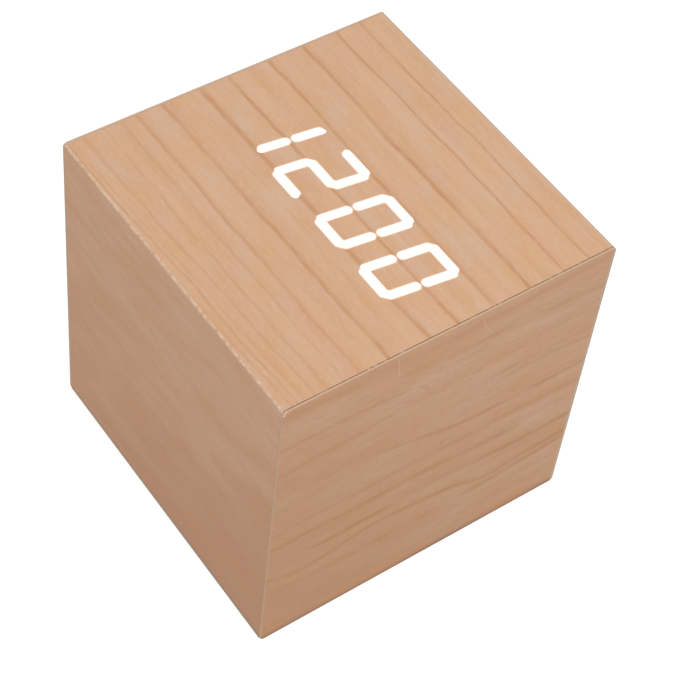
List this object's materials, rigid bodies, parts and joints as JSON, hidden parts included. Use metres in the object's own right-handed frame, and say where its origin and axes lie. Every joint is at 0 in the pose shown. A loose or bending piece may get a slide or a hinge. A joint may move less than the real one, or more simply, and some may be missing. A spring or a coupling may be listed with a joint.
{
  "type": "wooden digital clock",
  "caption": "Veneered wooden cube clock whose lit figures shine through the display face, with keys, a power socket and a hinged battery door at the back.",
  "frame": {"origin": "middle of the square back rim, on the surface that the clock lies on", "axes": "+X along the digits as they are read, +Y to the tops of the digits, +Z out of the display face. The clock is modelled as pictured, lying on its back. In use it stands on its base face, which looks along -Y."},
  "size_m": [0.062, 0.062, 0.062],
  "materials": {
    "veneer": "pale satin wood veneer with fine straight grain",
    "end_veneer": "pale satin wood veneer with wavy grain",
    "fibreboard": "raw fine fibreboard",
    "lit_display": "lit white",
    "diffuser": "milky",
    "mask_plastic": "moulded",
    "circuit_board": "green solder mask",
    "led_lens": "clear resin over white",
    "screw_steel": "zinc plated",
    "chip_resin": "moulded resin",
    "crystal_can": "drawn can",
    "capacitor_sleeve": "shrunk sleeve",
    "connector_plastic": "moulded",
    "ribbon_plastic": "extruded",
    "panel_plastic": "fine moulded texture",
    "key_plastic": "satin",
    "plunger_plastic": "moulded",
    "switch_plastic": "moulded",
    "socket_plastic": "moulded",
    "cell_jacket": "plain printed sleeve",
    "contact_steel": "nickel plated",
    "red_lead": "insulated wire",
    "black_lead": "insulated wire",
    "brass_pin": "plated"
  },
  "bodies": {
    "case": {"base_board": "fibreboard", "right_board": "fibreboard", "upper_board": "fibreboard", "left_board": "fibreboard", "front_board": "fibreboard", "corner_posts": "fibreboard", "veneer_wrap": "veneer", "right_veneer": "end_veneer", "left_veneer": "end_veneer", "lit_segments": "lit_display", "diffuser_sheet": "diffuser", "segment_mask": "mask_plastic", "led_board": "circuit_board", "segment_leds": "led_lens", "led_board_screws": "screw_steel", "clock_chip": "chip_resin", "driver_chip": "chip_resin", "clock_crystal": "crystal_can", "buzzer": "chip_resin", "buffer_capacitor": "capacitor_sleeve", "segment_resistors": "chip_resin", "battery_socket": "connector_plastic", "ribbon_sockets": "connector_plastic", "key_ribbon": "ribbon_plastic", "back_panel": "panel_plastic", "back_panel_screws": "screw_steel", "battery_cells": "cell_jacket", "battery_contacts": "contact_steel", "battery_springs": "contact_steel", "battery_lead_red": "red_lead", "battery_lead_black": "black_lead", "key_board": "circuit_board", "key_board_screws": "screw_steel", "key_switches": "switch_plastic", "power_socket": "socket_plastic", "power_pin": "brass_pin"},
    "battery_door": {"battery_door": "panel_plastic"},
    "set_key": {"set_button": "key_plastic", "set_plunger": "plunger_plastic"},
    "up_key": {"up_button": "key_plastic", "up_plunger": "plunger_plastic"},
    "down_key": {"down_button": "key_plastic", "down_plunger": "plunger_plastic"}
  },
  "joints": [
    {"name": "door_swing", "type": "hinge", "parent": "case", "child": "battery_door", "pos_m": [0, -0.01545, 0.0018], "axis": [-1, 0, 0], "range_deg": [0, 95]},
    {"name": "set_press", "type": "slide", "parent": "case", "child": "set_key", "axis": [0, 0, 1], "range_m": [0, 0.0003], "stiffness_N_per_m": 5000},
    {"name": "up_press", "type": "slide", "parent": "case", "child": "up_key", "axis": [0, 0, 1], "range_m": [0, 0.0003], "stiffness_N_per_m": 5000},
    {"name": "down_press", "type": "slide", "parent": "case", "child": "down_key", "axis": [0, 0, 1], "range_m": [0, 0.0003], "stiffness_N_per_m": 5000}
  ]
}
